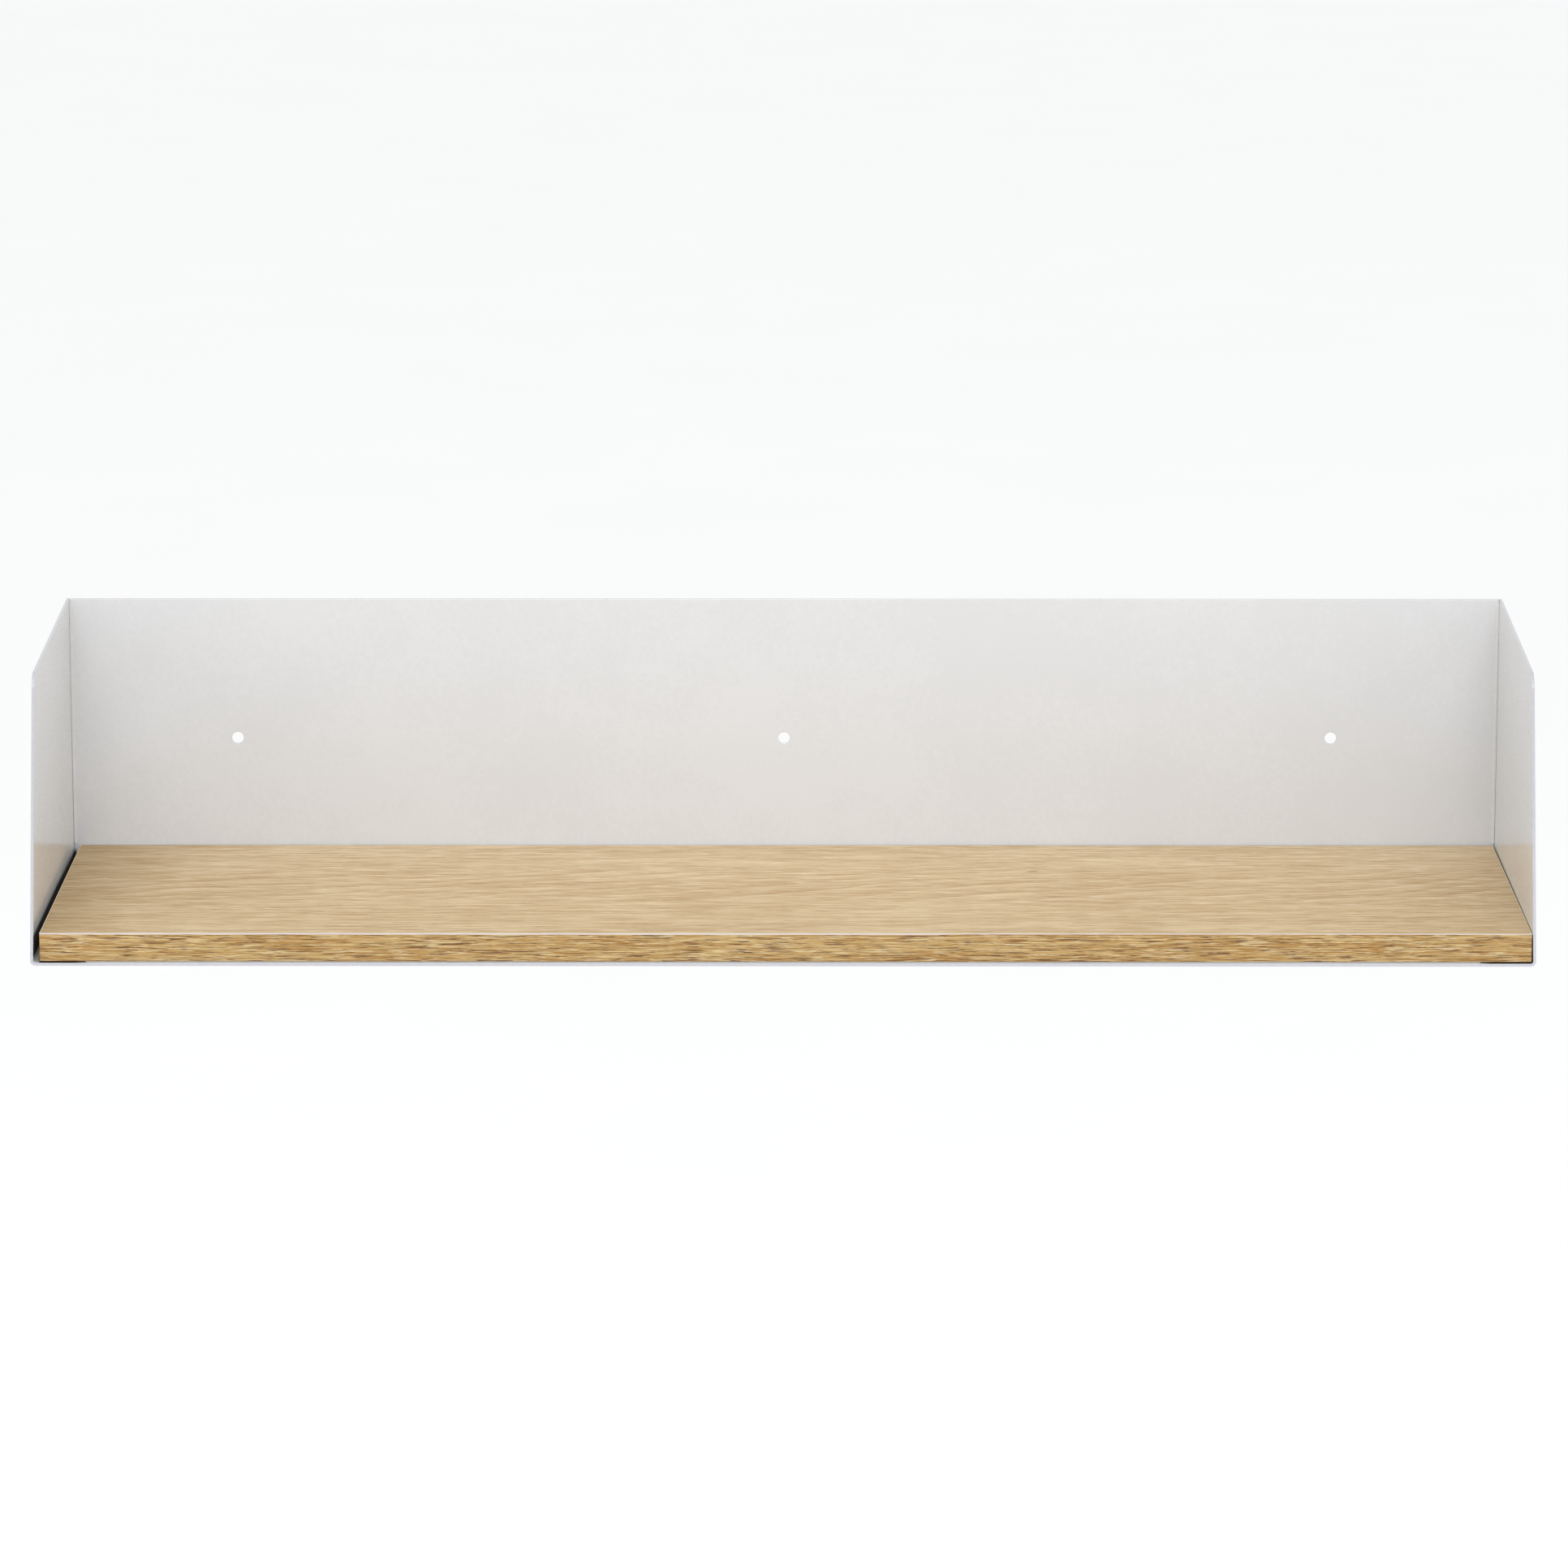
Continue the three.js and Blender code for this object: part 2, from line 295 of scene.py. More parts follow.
# %% Lean the cheeks inwards
def lattice_around(low, high):
    """Add a lattice with two points each way, which just encloses a box."""
    bpy.ops.object.select_all(action="DESELECT")
    bpy.ops.object.add(type="LATTICE", location=(low + high) / 2)
    cage = bpy.context.object
    cage.scale = high - low
    cage.data.points_u = cage.data.points_v = cage.data.points_w = 2
    cage.data.interpolation_type_u = "KEY_LINEAR"
    cage.data.interpolation_type_v = "KEY_LINEAR"
    cage.data.interpolation_type_w = "KEY_LINEAR"
    return cage


cage = lattice_around(tray_low, tray_high)
for point in cage.data.points:
    if point.co.y < 0 < point.co.z:
        point.co_deform.x -= math.copysign(TOE_IN / cage.scale.x, point.co.x)
bpy.context.view_layer.update()
apply_modifier(tray, "LATTICE", object=cage)
bpy.data.objects.remove(cage)
front_top = [v.co.x for v in tray.data.vertices if v.co.z > HEIGHT - 0.01 * MM and v.co.y < 0]
print(f"outside of the top edge near the front is at {max(front_top) / MM:.2f} mm")

# %% [markdown]
# The strip is now a skin with no thickness, and its faces look outwards. Solidify adds the sheet on
# the inside, and gives the cut edges a material of their own. The powder melts into a small round
# there, which a narrow bevel makes.

# %% Give the strip its thickness and soft cut edges
EDGE_ROUND = 0.4 * MM
powder_coat = bpy.data.materials.new("coated_tray")
powder_edge_shaded = bpy.data.materials.new("coated_edge_shaded")

face_outwards(tray)
tray.data.materials.append(powder_coat)
tray.data.materials.append(powder_edge_shaded)
apply_modifier(tray, "SOLIDIFY", thickness=SHEET, offset=-1, use_even_offset=True, material_offset_rim=1)
soften_edges(tray, EDGE_ROUND)
stand_for(tray, "folded_tray")

# %% [markdown]
# ## The back panel
#
# The back is one flat sheet with three round holes for the wall screws. The holes could be
# bridged face by face, but a boolean leaves them truly round at any place. Three drills, joined
# into one object, cut them all at once. The powder melts round every cut edge, so the rim of each
# hole gets the same soft edge as the outline. The sheet is a hair wider than in the CAD model,
# which keeps a fitting gap there, so that no light shows through the welded seams.

# %% Back panel with its screw holes
HOLE_SIDES = 48
HOLE_MARGIN = 5 * MM
DRILL_LENGTH = 10 * SHEET
SEAM_FILL = Vector((0.09 * MM, 0, 0))

panel_low, panel_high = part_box("back_panel")
powder_back_shaded = bpy.data.materials.new("coated_back_shaded")


def round_holes(node):
    """The holes in a flat node, as x, z and radius, from its points that lie well inside its outline."""
    low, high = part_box(node)
    inner = [v.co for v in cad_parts[node].data.vertices
             if all(low[axis] + HOLE_MARGIN < v.co[axis] < high[axis] - HOLE_MARGIN for axis in (0, 2))]
    groups = []
    for p in sorted(inner, key=lambda p: p.x):
        if not groups or p.x - groups[-1][-1].x > 2 * HOLE_MARGIN:
            groups.append([])
        groups[-1].append(p)
    found = []
    for group in groups:
        left, right = min(p.x for p in group), max(p.x for p in group)
        foot, top = min(p.z for p in group), max(p.z for p in group)
        found.append(((left + right) / 2, (foot + top) / 2, (right - left) / 2))
    return found


holes = round_holes("back_panel")
panel = box_between("steel_back", panel_low - SEAM_FILL, panel_high + SEAM_FILL)
drills = []
for x, z, radius in holes:
    bpy.ops.object.select_all(action="DESELECT")
    bpy.ops.mesh.primitive_cylinder_add(vertices=HOLE_SIDES, radius=radius, depth=DRILL_LENGTH,
                                        location=(x, panel_high.y, z), rotation=(math.pi / 2, 0, 0))
    drills.append(bpy.context.object)
drill = only(drills[0])
for other in drills[1:]:
    other.select_set(True)
bpy.ops.object.join()
apply_modifier(panel, "BOOLEAN", object=drill, operation="DIFFERENCE", solver="EXACT")
bpy.data.objects.remove(drill)
panel.data.materials.append(powder_back_shaded)
panel.data.materials.append(powder_edge_shaded)
for face in panel.data.polygons:
    face.material_index = 0 if abs(face.normal.y) > 0.9 else 1
soften_edges(panel, EDGE_ROUND)
stand_for(panel, "back_panel")
print("holes:", [(round(x / MM, 1), round(z / MM, 1), round(r / MM, 2)) for x, z, r in holes])

# %% [markdown]
# ## Weld beads
#
# The back is welded to the cheeks and to the floor, and the beads are ground down and coated
# with the rest, so only a small uneven fillet is left in each corner. A swept curve would be too
# even. A bar with its free edge bevelled inwards makes the fillet. Cutting it into short lengths
# and nudging the points of the hollow face at random makes it look worked by hand. The seed keeps
# the result the same every time.

# %% Weld beads
BEAD_CUTS = 90
BEAD_SEGMENTS = 5
BEAD_HOLLOW = 0.97
BEAD_PROFILE = 0.15
BEAD_LUMP = 0.07 * MM


def weld_bead(name, node, free_edge, along, seed):
    """Model a coated bead in a node's box. free_edge gives the two sides its hollow face looks to."""
    low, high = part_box(node)
    bead = box_between(name, low, high)
    across = [axis for axis in range(3) if axis != along]
    leg = min(high[axis] - low[axis] for axis in across)
    bpy.ops.object.mode_set(mode="EDIT")
    sides = [(axis, high[axis] if free_edge[axis] > 0 else low[axis]) for axis in across]
    pick(bead, "EDGE", lambda points: all(near(p[axis], at) for p in points for axis, at in sides))
    bpy.ops.mesh.bevel(offset=BEAD_HOLLOW * leg, segments=BEAD_SEGMENTS, profile=BEAD_PROFILE,
                       affect="EDGES", clamp_overlap=False)
    half_length = (high[along] - low[along]) / 2
    pick(bead, "EDGE", lambda points: abs(points[0][along] - points[1][along]) > half_length)
    bpy.ops.mesh.subdivide(number_cuts=BEAD_CUTS)
    pick(bead, "VERT", lambda points: all(0.02 * leg < abs(points[0][axis] - at) < 0.95 * leg
                                          for axis, at in sides))
    bpy.ops.transform.vertex_random(offset=BEAD_LUMP, uniform=0.6, normal=0, seed=seed)
    bpy.ops.object.mode_set(mode="OBJECT")
    only(bead)
    bpy.ops.object.shade_smooth_by_angle(angle=math.radians(60))
    stand_for(bead, node)
    return bead


weld_left = weld_bead("weld_left", "corner_weld_left", (1, -1, 0), along=2, seed=3)
weld_right = weld_bead("weld_right", "corner_weld_right", (-1, -1, 0), along=2, seed=8)
weld_floor = weld_bead("weld_floor", "floor_weld", (0, 1, -1), along=0, seed=5)

# %% [markdown]
# ## The board
#
# The board is particle board under a thin printed oak foil, with a strip of edging glued round
# it. One block could carry all the prints, but then the seams between them would be painted on.
# The edging is trimmed flush by a machine, which leaves a small rounded arris along its top and
# bottom, and that arris catches the light. So each strip is its own piece: the foils stay nearly
# sharp, and the edging gets a rounder edge on the side that a hand would touch.

# %% Foils and edging
FOIL_ARRIS = 0.06 * MM
EDGING_ARRIS = 0.45 * MM


def foil(name, node):
    """Model a sheet of printed foil in a node's box."""
    piece = box_between(name, *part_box(node))
    soften_edges(piece, FOIL_ARRIS, segments=2)
    stand_for(piece, node)
    return piece


def edging(name, node, outside):
    """Model a strip of edging whose outer face is at outside, given as an axis and a sign."""
    low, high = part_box(node)
    piece = box_between(name, low, high)
    axis, sign = outside
    face = high[axis] if sign > 0 else low[axis]
    bpy.ops.object.mode_set(mode="EDIT")
    pick(piece, "EDGE", lambda points: all(near(p[axis], face) for p in points))
    bpy.ops.mesh.bevel(offset=EDGING_ARRIS, segments=4, affect="EDGES", clamp_overlap=False)
    bpy.ops.object.mode_set(mode="OBJECT")
    only(piece)
    bpy.ops.object.shade_smooth_by_angle(angle=math.radians(35))
    stand_for(piece, node)
    return piece


top_foil = foil("oak_top", "top_foil")
under_foil = foil("oak_underside", "underside_foil")
edging_front = edging("edging_front", "front_edge_band", (1, -1))
edging_rear = edging("edging_rear", "rear_edge_band", (1, 1))
edging_left = edging("edging_left", "left_edge_band", (0, -1))
edging_right = edging("edging_right", "right_edge_band", (0, 1))

# %% [markdown]
# ## The glued strips
#
# Three strips of thin white foam tape hold the board down and keep it clear of the steel. Foam has
# no crisp edges: it bulges a little where it is squeezed. A soft body would show the same, but
# one strip with a wide bevel round its cut sides and a wavy outline is enough, and it is copied
# for the other two.

# %% Foam strips
FOAM_ROUND = 0.22 * MM
FOAM_CUTS = 40
FOAM_WAVE = 0.12 * MM

STRIP_NODES = {"foam_front": "adhesive_strip_front", "foam_middle": "adhesive_strip_middle",
               "foam_rear": "adhesive_strip_rear"}

strip_low, strip_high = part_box(STRIP_NODES["foam_front"])
strip = box_between("foam_front", strip_low, strip_high)
bpy.ops.object.mode_set(mode="EDIT")
pick(strip, "EDGE", lambda points: abs(points[0].x - points[1].x) > 0.5 * (strip_high.x - strip_low.x))
bpy.ops.mesh.subdivide(number_cuts=FOAM_CUTS)
pick(strip, "VERT", lambda points: abs(points[0].x) < strip_high.x - MM)
bpy.ops.transform.vertex_random(offset=FOAM_WAVE, uniform=0, normal=0, seed=11)
bpy.ops.object.mode_set(mode="OBJECT")
strip_middle_z = (strip_low.z + strip_high.z) / 2
for vertex in strip.data.vertices:
    vertex.co.z = strip_low.z if vertex.co.z < strip_middle_z else strip_high.z
    vertex.co.y = min(max(vertex.co.y, strip_low.y), strip_high.y)
soften_edges(strip, FOAM_ROUND, segments=3)
strips = [strip]
for name in ("foam_middle", "foam_rear"):
    only(strip)
    bpy.ops.object.duplicate(linked=False)
    copy = bpy.context.object
    copy.name = copy.data.name = name
    copy.location.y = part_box(STRIP_NODES[name])[0].y - strip_low.y
    bpy.ops.object.transform_apply(location=True, rotation=True, scale=True)
    strips.append(copy)
for piece in strips:
    stand_for(piece, STRIP_NODES[piece.name])

# %% [markdown]
# ## Building materials
#
# A shader is a small tree of nodes, which most people draw by hand. These helpers add one node
# each and plug in what they are given, so that a material below reads like a recipe. An effect
# that several materials share becomes a node group with named sockets.

# %% Node helpers
def colour(red, green, blue):
    """Turn a colour as it is seen on a screen, 0 to 255, into the linear values a shader needs."""
    def linear(value):
        value /= 255
        return value / 12.92 if value <= 0.04045 else ((value + 0.055) / 1.055) ** 2.4
    return (linear(red), linear(green), linear(blue), 1)


def plug(tree, value, socket):
    """Link a socket to an output, or give it a plain value."""
    if isinstance(value, bpy.types.NodeSocket):
        tree.links.new(value, socket)
    else:
        socket.default_value = value


def add(tree, kind, output=0, settings=(), **values):
    """Add a node, set its sockets by name, and give back one of its outputs."""
    made = tree.nodes.new("ShaderNode" + kind)
    for name, value in dict(settings).items():
        setattr(made, name, value)
    for name, value in values.items():
        plug(tree, value, made.inputs[name.replace("_", " ")])
    return made.outputs[output]


def calc(tree, operation, *values, clamp=False):
    """Add a Math node."""
    made = tree.nodes.new("ShaderNodeMath")
    made.operation = operation
    made.use_clamp = clamp
    for socket, value in zip(made.inputs, values):
        plug(tree, value, socket)
    return made.outputs[0]


# %% Fades, blends and masks
def fade(tree, value, start, end, low=0.0, high=1.0):
    """Go smoothly from low to high as value goes from start to end."""
    return add(tree, "MapRange", settings={"interpolation_type": "SMOOTHSTEP"}, Value=value,
               From_Min=start, From_Max=end, To_Min=low, To_Max=high)


def blend(tree, factor, first, second, mode="MIX"):
    """Mix two colours."""
    made = tree.nodes.new("ShaderNodeMix")
    made.data_type = "RGBA"
    made.blend_type = mode
    plug(tree, factor, made.inputs["Factor"])
    colour_inputs = [socket for socket in made.inputs if socket.type == "RGBA"]
    plug(tree, first, colour_inputs[0])
    plug(tree, second, colour_inputs[1])
    return next(socket for socket in made.outputs if socket.type == "RGBA")


def layer(tree, mask, share, under, over):
    """Paint one colour over another where the mask is, at most to this share."""
    return blend(tree, calc(tree, "MULTIPLY", mask, share), under, over)


def product(tree, *masks):
    """Multiply masks, so that only what all of them cover is left."""
    covered = masks[0]
    for mask in masks[1:]:
        covered = calc(tree, "MULTIPLY", covered, mask)
    return covered


def weighted(tree, first, first_share, second):
    """Add two values by their shares, which sum to one."""
    return calc(tree, "ADD", calc(tree, "MULTIPLY", first, first_share),
                calc(tree, "MULTIPLY", second, 1 - first_share))


def place_along(tree, vector, axis):
    """One of the X, Y and Z parts of a vector."""
    return add(tree, "SeparateXYZ", Vector=vector, output=axis)


def stretched(tree, vector, scale, turn=(0, 0, 0)):
    """Turn and stretch a pattern's coordinates."""
    return add(tree, "Mapping", Vector=vector, Scale=scale, Rotation=turn)


# %% Groups and materials
def new_group(name, inputs, outputs):
    """Start a node group. inputs maps a name to (socket kind, start value)."""
    tree = bpy.data.node_groups.new(name, "ShaderNodeTree")
    for socket_name, (kind, value) in inputs.items():
        socket = tree.interface.new_socket(socket_name, in_out="INPUT", socket_type="NodeSocket" + kind)
        if value is not None:
            socket.default_value = value
    for socket_name, kind in outputs.items():
        tree.interface.new_socket(socket_name, in_out="OUTPUT", socket_type="NodeSocket" + kind)
    return tree, tree.nodes.new("NodeGroupInput").outputs, tree.nodes.new("NodeGroupOutput").inputs


def use_group(tree, group, **values):
    """Place a node group and give back its outputs."""
    made = tree.nodes.new("ShaderNodeGroup")
    made.node_tree = group
    for name, value in values.items():
        plug(tree, value, made.inputs[name.replace("_", " ")])
    return made.outputs


def start_material(material, **constants):
    """Start a material's nodes. constants are the shader's values that are the same all over."""
    material.use_nodes = True
    tree = material.node_tree
    shader = tree.nodes["Principled BSDF"]
    for socket_name, value in constants.items():
        shader.inputs[socket_name.replace("_", " ")].default_value = value
    return tree, shader.inputs, tree.nodes.new("ShaderNodeTexCoord").outputs["Object"]


def new_material(name, **constants):
    """Make and start a material."""
    material = bpy.data.materials.new(name)
    return material, *start_material(material, **constants)


def dress(material, *pieces):
    """Give pieces this one material."""
    for piece in pieces:
        piece.data.materials.clear()
        piece.data.materials.append(material)
    print(material.name, "on", ", ".join(piece.name for piece in pieces))


# %% [markdown]
# ## Effects that materials share
#
# Powder coat is a plastic that was baked on as dust. Up close it has a soft pebbled skin, like an
# orange, and its tone drifts a little over a hand's width. A few specks of darker dust are caught in
# it. Each could be a scan, but noise has no seams and can be made at any size. One group
# makes all three, so the welds can use it with larger specks than the panels.

# %% Powder film group
powder_film, given, result = new_group(
    "powder_film",
    {"Vector": ("Vector", None), "Pebble Size": ("Float", 0.0016), "Speck Size": ("Float", 0.0005)},
    {"Tone": "Float", "Specks": "Float", "Height": "Float"})
DRIFT_SCALE = 14.0
FINE_SCALE = 420.0
DRIFT_SHARE = 0.55
SPECK_CELL = 62.0
SPECK_SHARE = 0.988

pebble_scale = calc(powder_film, "DIVIDE", 1.0, given["Pebble Size"])
pebbles = add(powder_film, "TexNoise", Vector=given["Vector"], Scale=pebble_scale, Detail=3.0, Roughness=0.55)
drift = add(powder_film, "TexNoise", Vector=given["Vector"], Scale=DRIFT_SCALE, Detail=3.0, Roughness=0.6)
fine = add(powder_film, "TexNoise", Vector=given["Vector"], Scale=FINE_SCALE, Detail=2.0, Roughness=0.7)
plug(powder_film, weighted(powder_film, drift, DRIFT_SHARE, fine), result["Tone"])
cells = powder_film.nodes.new("ShaderNodeTexVoronoi")
cells.inputs["Scale"].default_value = SPECK_CELL
plug(powder_film, given["Vector"], cells.inputs["Vector"])
cell_size = calc(powder_film, "MULTIPLY", given["Speck Size"], SPECK_CELL)
inside = calc(powder_film, "LESS_THAN", cells.outputs["Distance"], cell_size)
chosen = calc(powder_film, "GREATER_THAN",
              add(powder_film, "SeparateColor", Color=cells.outputs["Color"]), SPECK_SHARE)
plug(powder_film, calc(powder_film, "MULTIPLY", inside, chosen), result["Specks"])
plug(powder_film, pebbles, result["Height"])
print("powder_film:", len(powder_film.nodes), "nodes")

# %% [markdown]
# Oak has long soft streaks along the grain, with short pale and dark dashes on them. Across both
# run the growth rings: a thin pale line, then a shade that is darkest next to the line and fades
# out towards the next one. A wave texture would make rings that are too even, so the grain is
# noise stretched along its length, and the rings are a ramp that is bent by noise. The group takes
# the length and width of a dash in metres, because the face and the edging are printed
# differently, and how far the dashes sway from side to side.

# %% Oak grain group
oak_grain, given, result = new_group(
    "oak_grain",
    {"Vector": ("Vector", None), "Dash Length": ("Float", 0.02), "Dash Width": ("Float", 0.002),
     "Ring Width": ("Float", 0.018), "Ring Slope": ("Float", 0.3), "Wave": ("Float", 0.001)},
    {"Tone": "Float", "Pale Dashes": "Float", "Dark Dashes": "Float", "Ring Shade": "Float",
     "Ring Line": "Float"})


def vector_calc(tree, operation, *values):
    """Add a Vector Math node."""
    made = tree.nodes.new("ShaderNodeVectorMath")
    made.operation = operation
    for socket, value in zip(made.inputs, values):
        plug(tree, value, socket)
    return made.outputs["Vector"]


SWAY_SCALE = (20, 60, 60)
BROAD_SCALE = (7, 60, 60)
BROAD_SHARE = 0.25
LONG_SHARE = 0.6

sway_noise = add(oak_grain, "TexNoise", Vector=stretched(oak_grain, given["Vector"], SWAY_SCALE), Scale=1.0,
                 Detail=1.0)
sway = calc(oak_grain, "MULTIPLY", calc(oak_grain, "SUBTRACT", sway_noise, 0.5), given["Wave"])
swayed = vector_calc(oak_grain, "ADD", given["Vector"], add(oak_grain, "CombineXYZ", X=0.0, Y=sway, Z=sway))


def dashes(length_share, width_share, detail, shift):
    """Noise whose grains are these shares of a dash long and wide."""
    length = calc(oak_grain, "MULTIPLY", given["Dash Length"], length_share)
    width = calc(oak_grain, "MULTIPLY", given["Dash Width"], width_share)
    squeeze = add(oak_grain, "CombineXYZ", X=calc(oak_grain, "DIVIDE", 1.0, length),
                  Y=calc(oak_grain, "DIVIDE", 1.0, width), Z=calc(oak_grain, "DIVIDE", 1.0, width))
    shifted = vector_calc(oak_grain, "ADD", swayed, (shift, 0.7 * shift, 0.4 * shift))
    return add(oak_grain, "TexNoise", Vector=vector_calc(oak_grain, "MULTIPLY", shifted, squeeze),
               Scale=1.0, Detail=detail, Roughness=0.6)


broad = add(oak_grain, "TexNoise", Vector=stretched(oak_grain, given["Vector"], BROAD_SCALE), Scale=1.0,
            Detail=3.0, Roughness=0.55)
long_streaks = dashes(length_share=3.6, width_share=2.0, detail=3.0, shift=3.0)
short_streaks = dashes(length_share=1.6, width_share=0.7, detail=4.0, shift=0.0)
streaks = weighted(oak_grain, long_streaks, LONG_SHARE, short_streaks)
tone_sum = weighted(oak_grain, broad, BROAD_SHARE, streaks)
pale_dashes = dashes(length_share=1.0, width_share=0.8, detail=2.0, shift=1.0)
dark_dashes = dashes(length_share=0.9, width_share=0.7, detail=2.0, shift=2.0)
plug(oak_grain, fade(oak_grain, tone_sum, 0.42, 0.58), result["Tone"])
plug(oak_grain, fade(oak_grain, pale_dashes, 0.53, 0.59), result["Pale Dashes"])
plug(oak_grain, fade(oak_grain, dark_dashes, 0.545, 0.60), result["Dark Dashes"])
print("oak_grain, streaks and dashes:", len(oak_grain.nodes), "nodes")

# %% Growth rings in the same group
RING_BEND = 3.8
RING_BEND_SCALE = (5, 9, 9)
LINE_START = 0.86
LINE_END = 0.06

across = place_along(oak_grain, given["Vector"], "Y")
along = place_along(oak_grain, given["Vector"], "X")
ring_bend = add(oak_grain, "TexNoise", Vector=stretched(oak_grain, given["Vector"], RING_BEND_SCALE),
                Scale=1.0, Detail=2.0, Roughness=0.45)
ring_place = calc(oak_grain, "SUBTRACT", across, calc(oak_grain, "MULTIPLY", along, given["Ring Slope"]))
ring_turns = calc(oak_grain, "ADD", calc(oak_grain, "DIVIDE", ring_place, given["Ring Width"]),
                  calc(oak_grain, "MULTIPLY", ring_bend, RING_BEND))
ring_share = calc(oak_grain, "FRACT", ring_turns)
line_before = fade(oak_grain, ring_share, LINE_START, 0.99)
line_after = fade(oak_grain, ring_share, LINE_END, 0.0)
plug(oak_grain, fade(oak_grain, ring_share, 0.85, LINE_END), result["Ring Shade"])
plug(oak_grain, calc(oak_grain, "ADD", line_before, line_after), result["Ring Line"])
print("oak_grain with its rings:", len(oak_grain.nodes), "nodes")

# %% [markdown]
# ## Off-white powder coat
#
# The steel is coated in a soft white with a satin sheen. It isn't a mirror, yet seen along a
# cheek it shows a blurred image of the board, which a low but not tiny roughness gives. The cut
# edges are a cooler tone and painted darker, as painted shade, because they face the light more
# than the panels. The tray is painted a shade lighter and the back a shade darker, as painted
# light and shade that even out the light they get. The cheeks below the board's top and the floor
# past the foam strips are painted nearly black without any sheen, as painted shade, so that the
# slots at the board's ends look nearly black. The bend itself lies open and gets no painted
# shade. These dark places could be faces with a material of their own, but masks made from the
# pieces' sizes follow the design and fade out softly.

# %% Powder coat
# The same coat, painted a shade lighter on the tray and a shade darker on the back, as painted light and
# shade that even out the light each gets.
COAT_TRAY = colour(211, 213, 215)
COAT_TRAY_SHADE = colour(208, 210, 212)
COAT_BACK_SHADED = colour(203, 204, 206)
COAT_BACK_SHADED_DARK = colour(200, 201, 203)
# The cut edges are painted darker than the panels, as painted shade, because they face the light more.
COAT_EDGE_SHADED = colour(176, 177, 182)
COAT_EDGE_SHADED_DARK = colour(172, 173, 179)
COAT_SPECK = colour(120, 116, 110)
# Near black: painted shade in the slots beside the board and under its two ends.
COAT_GAP_SHADE = colour(6, 5, 6)

COAT_ROUGHNESS = (0.14, 0.20)

board_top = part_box("top_foil")[1].z
board_left, board_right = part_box("left_edge_band")[0].x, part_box("right_edge_band")[1].x
board_front, board_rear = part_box("front_edge_band")[0].y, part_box("rear_edge_band")[1].y
foam_end = strip_high.x
print(f"board from {board_left / MM:.1f} to {board_right / MM:.1f} mm, its top at {board_top / MM:.1f} mm")

# %% Where shade is painted into the slots
CHEEK_FADE = 3 * MM
CHEEK_FADE_START = 0.5 * MM
REAR_DROP = 2 * MM
BEND_FADE = 2 * MM
END_FADE = 1 * MM
FOAM_FADE = (-3 * MM, 6 * MM)
FRONT_RIM = (0.2 * MM, 0.6 * MM)
BACK_RIM = (0.5 * MM, 0.1 * MM)


def painted_gap_shade(tree, place):
    """Mask of painted shade on the tray's inner side in the slots beside the board and under its two ends."""
    along, depth, up = (place_along(tree, place, axis) for axis in "XYZ")
    side = calc(tree, "ABSOLUTE", along)
    reach = calc(tree, "ADD", up, fade(tree, depth, 0.0, board_rear, 0.0, REAR_DROP))
    bend_top = SHEET + BEND_INSIDE
    on_cheek = product(
        tree,
        fade(tree, reach, board_top + CHEEK_FADE_START, board_top - CHEEK_FADE),
        fade(tree, up, bend_top, bend_top + BEND_FADE),
        fade(tree, side, board_right - END_FADE, board_right))
    on_floor = product(
        tree,
        fade(tree, up, 0.6 * SHEET, 0.7 * SHEET),
        fade(tree, up, 3 * SHEET, 2 * SHEET),
        fade(tree, side, foam_end + FOAM_FADE[0], foam_end + FOAM_FADE[1]),
        fade(tree, along, board_left - END_FADE, board_left))
    return product(
        tree,
        fade(tree, side, tray_high.x - 0.7 * SHEET, tray_high.x - 0.8 * SHEET),
        fade(tree, depth, tray_low.y + FRONT_RIM[0], tray_low.y + FRONT_RIM[1]),
        fade(tree, depth, panel_low.y + BACK_RIM[0], panel_low.y + BACK_RIM[1]),
        calc(tree, "MAXIMUM", on_cheek, on_floor))


def fill_powder(material, light, shade):
    """Powder coat between two close tones, with nearly black painted shade inside the tray below the board.
    """
    tree, shader, place = start_material(material, Metallic=0.0, IOR=1.5)
    film = use_group(tree, powder_film, Vector=place, Pebble_Size=0.0012, Speck_Size=0.0003)
    coat = blend(tree, fade(tree, film["Tone"], 0.42, 0.58), shade, light)
    coat = layer(tree, film["Specks"], 0.6, coat, COAT_SPECK)
    # Painted shade: the slots turn nearly black and lose their sheen.
    gap_shade = painted_gap_shade(tree, place)
    plug(tree, blend(tree, gap_shade, coat, COAT_GAP_SHADE), shader["Base Color"])
    sheen = fade(tree, film["Height"], 0.3, 0.7, *COAT_ROUGHNESS)
    plug(tree, calc(tree, "MAXIMUM", sheen, gap_shade), shader["Roughness"])
    plug(tree, add(tree, "Bump", Strength=0.10, Distance=0.00002, Height=film["Height"]), shader["Normal"])
    print(f"{material.name}: {len(tree.nodes)} nodes")


fill_powder(powder_coat, COAT_TRAY, COAT_TRAY_SHADE)
fill_powder(powder_back_shaded, COAT_BACK_SHADED, COAT_BACK_SHADED_DARK)
fill_powder(powder_edge_shaded, COAT_EDGE_SHADED, COAT_EDGE_SHADED_DARK)

# %% [markdown]
# ## Coated welds
#
# A ground weld is never as smooth as the sheet beside it, and the coat follows every lump. The coat
# could be the panels' own. It gets a rougher one from the same group, with a much stronger bump,
# so that the beads don't glint.

# %% Coated welds
WELD_LIGHT = colour(204, 206, 208)
WELD_SHADE = colour(198, 199, 200)

